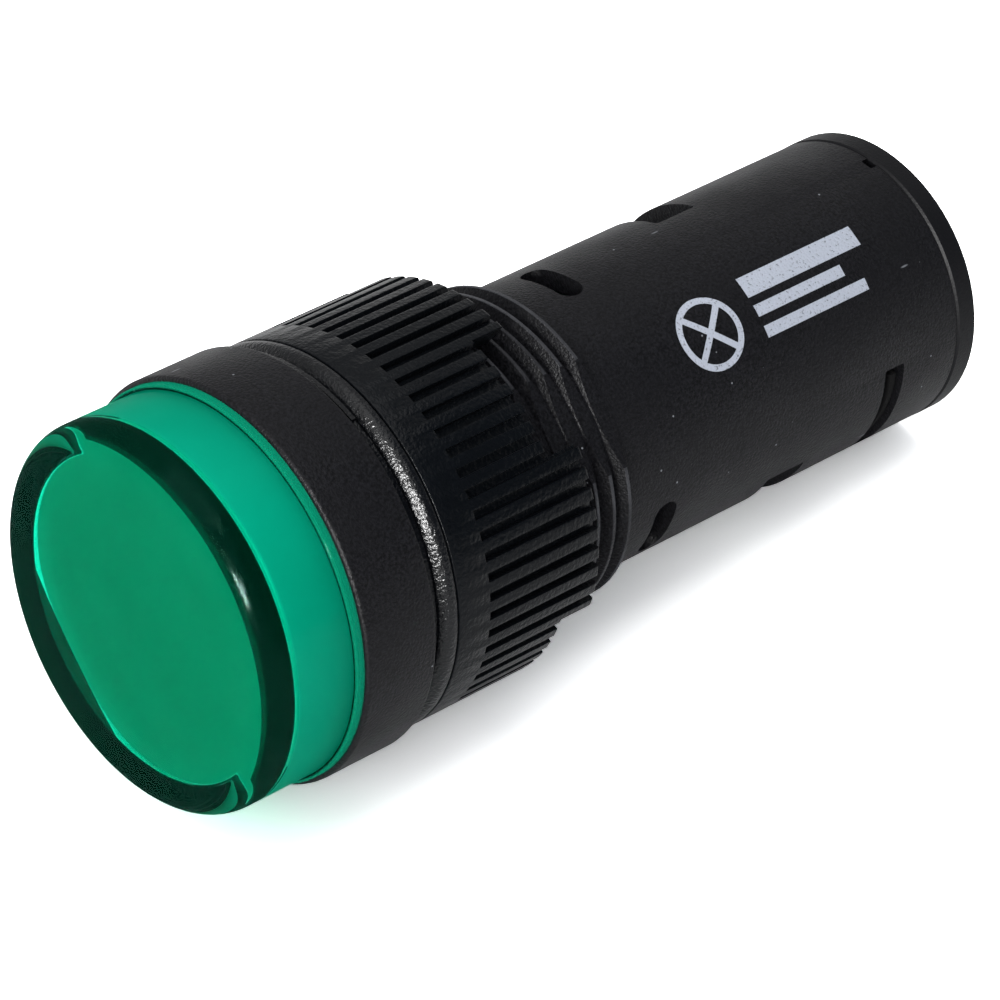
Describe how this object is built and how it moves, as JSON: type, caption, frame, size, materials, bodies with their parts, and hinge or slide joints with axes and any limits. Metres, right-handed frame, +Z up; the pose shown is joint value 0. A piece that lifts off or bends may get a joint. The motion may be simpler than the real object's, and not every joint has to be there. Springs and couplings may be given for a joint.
{
  "type": "panel signal lamp",
  "caption": "Green signal lamp for a round panel hole: clear cap lens, black bezel, threaded barrel with ribbed ring nut, plain rear tube with vents and screw terminals.",
  "frame": {"origin": "centre of the bezel's back face, where the lamp seats on its panel", "axes": "+Y along the lamp's axis from the lens to the terminals, +Z up as the lamp lies"},
  "size_m": [0.02, 0.0473, 0.02],
  "materials": {
    "housing_plastic": "fine matte moulded black",
    "lens_green": "clear tinted green, polished",
    "diffuser_white": "satin white",
    "seal_rubber": "smooth black rubber",
    "nut_plastic": "semi-gloss bluish black, orange peel",
    "block_plastic": "satin moulded black",
    "circuit_board": "green solder resist",
    "led_body": "white chip body",
    "black_epoxy": "moulded epoxy",
    "capacitor_sleeve": "shrink sleeve",
    "varistor_coating": "dipped epoxy",
    "resistor_coating": "lacquered beige",
    "terminal_brass": "stamped brass",
    "plated_steel": "zinc plated steel",
    "tinned_pin": "tinned"
  },
  "bodies": {
    "housing": {"capacitor": "capacitor_sleeve", "diffuser": "diffuser_white", "driver_board": "circuit_board", "housing": "housing_plastic", "led_1": "led_body", "led_2": "led_body", "led_3": "led_body", "led_4": "led_body", "led_5": "led_body", "led_6": "led_body", "led_board": "circuit_board", "lens": "lens_green", "link_pin_1": "tinned_pin", "link_pin_2": "tinned_pin", "rectifier": "black_epoxy", "resistor_1": "resistor_coating", "resistor_2": "resistor_coating", "terminal_block": "block_plastic", "terminal_plate_1": "terminal_brass", "terminal_plate_2": "terminal_brass", "varistor": "varistor_coating"},
    "panel_seal": {"panel_seal": "seal_rubber"},
    "ring_nut": {"ring_nut": "nut_plastic"},
    "clamp_washer_1": {"clamp_washer_1": "plated_steel"},
    "clamp_washer_2": {"clamp_washer_2": "plated_steel"},
    "terminal_screw_1": {"terminal_screw_1": "plated_steel"},
    "terminal_screw_2": {"terminal_screw_2": "plated_steel"}
  },
  "joints": [
    {"name": "nut_turn", "type": "hinge", "parent": "housing", "child": "panel_seal", "pos_m": [0, 0.006, 0], "axis": [0, 1, 0], "range_deg": [0, 2881]},
    {"name": "nut_advance", "type": "slide", "parent": "panel_seal", "child": "ring_nut", "axis": [0, 1, 0], "range_m": [0, 0.008]},
    {"name": "washer_lift_1", "type": "slide", "parent": "housing", "child": "clamp_washer_1", "axis": [0, 1, 0], "range_m": [0, 0.00225]},
    {"name": "screw_turn_1", "type": "hinge", "parent": "clamp_washer_1", "child": "terminal_screw_1", "pos_m": [-0.0019, 0.03225, 0.00219], "axis": [0, 1, 0], "range_deg": [0, 1801]},
    {"name": "washer_lift_2", "type": "slide", "parent": "housing", "child": "clamp_washer_2", "axis": [0, 1, 0], "range_m": [0, 0.00225]},
    {"name": "screw_turn_2", "type": "hinge", "parent": "clamp_washer_2", "child": "terminal_screw_2", "pos_m": [0.0019, 0.03225, -0.00219], "axis": [0, 1, 0], "range_deg": [0, 1801]}
  ],
  "couplings": [
    {"joint": "nut_turn", "follows": "nut_advance", "rad_per_m": 6283.2},
    {"joint": "screw_turn_1", "follows": "washer_lift_1", "rad_per_m": 13963},
    {"joint": "screw_turn_2", "follows": "washer_lift_2", "rad_per_m": 13963}
  ]
}
